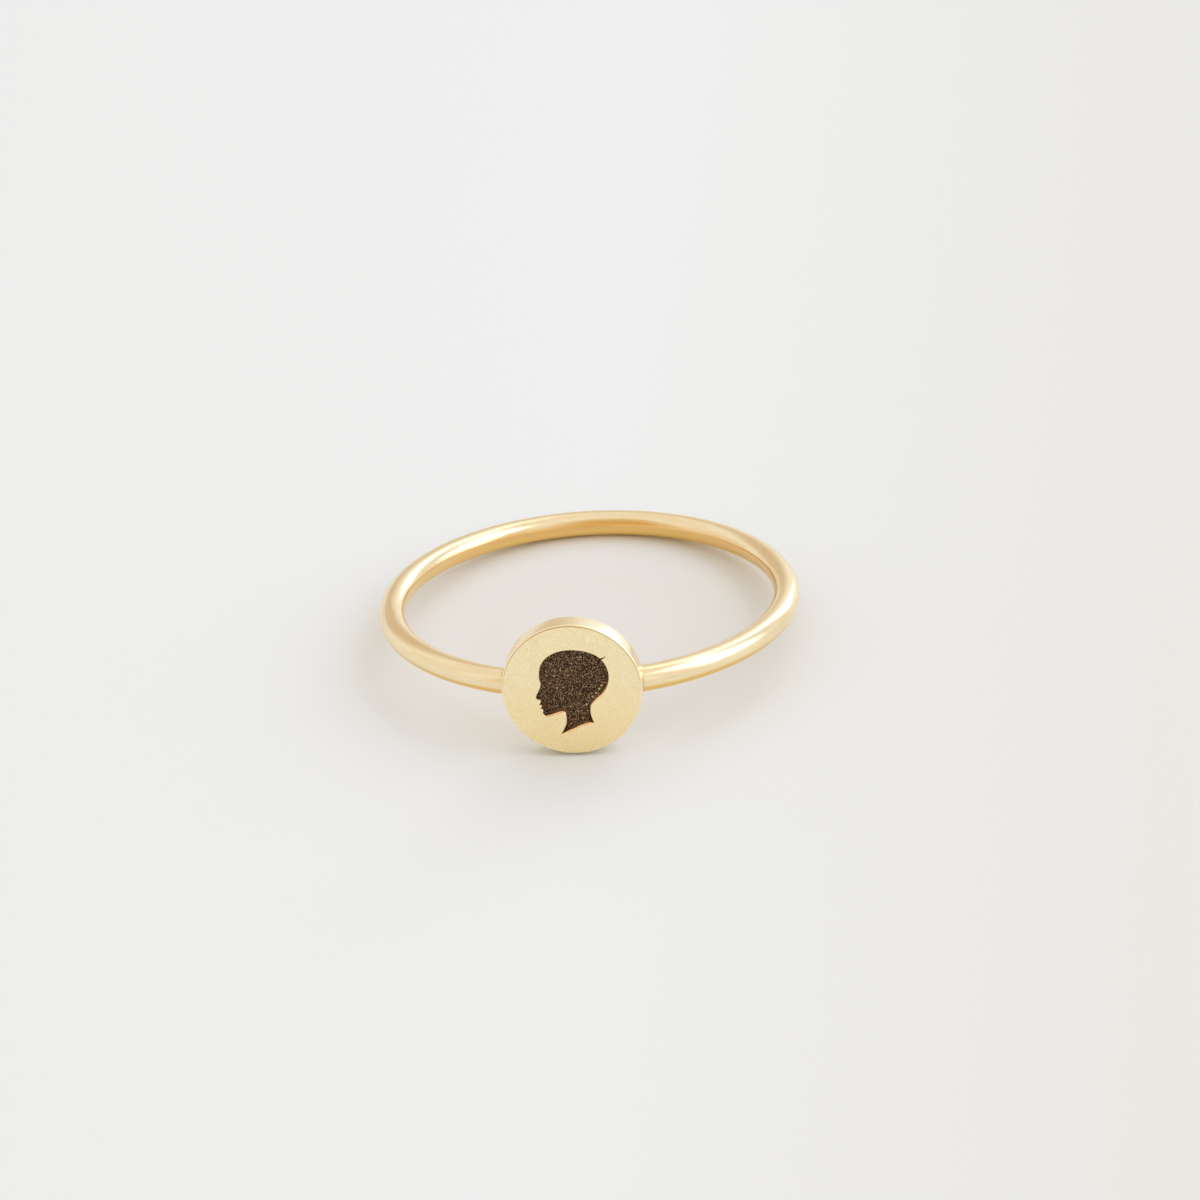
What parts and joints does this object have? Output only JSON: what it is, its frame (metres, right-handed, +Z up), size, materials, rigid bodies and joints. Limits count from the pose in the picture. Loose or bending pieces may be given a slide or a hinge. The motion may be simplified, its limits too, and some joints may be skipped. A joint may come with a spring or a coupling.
{
  "type": "stackable disc ring",
  "caption": "Slim round-wire finger ring with a flat round disc soldered at its front; a head in profile is sunk and blackened in the disc's face.",
  "frame": {"origin": "centre of the bottom of the bounding box, on the surface that the ring lies on", "axes": "+Z up; the disc faces -Y and leans back 8.15 degrees; X across the finger hole; the sunk head looks towards -X"},
  "size_m": [0.0198, 0.0199, 0.0065],
  "materials": {
    "gold": "yellow gold: wire and rim polished, disc face satin, sunk head blackened and matt"
  },
  "bodies": {
    "root": {"disc_ring": "gold"}
  },
  "joints": []
}
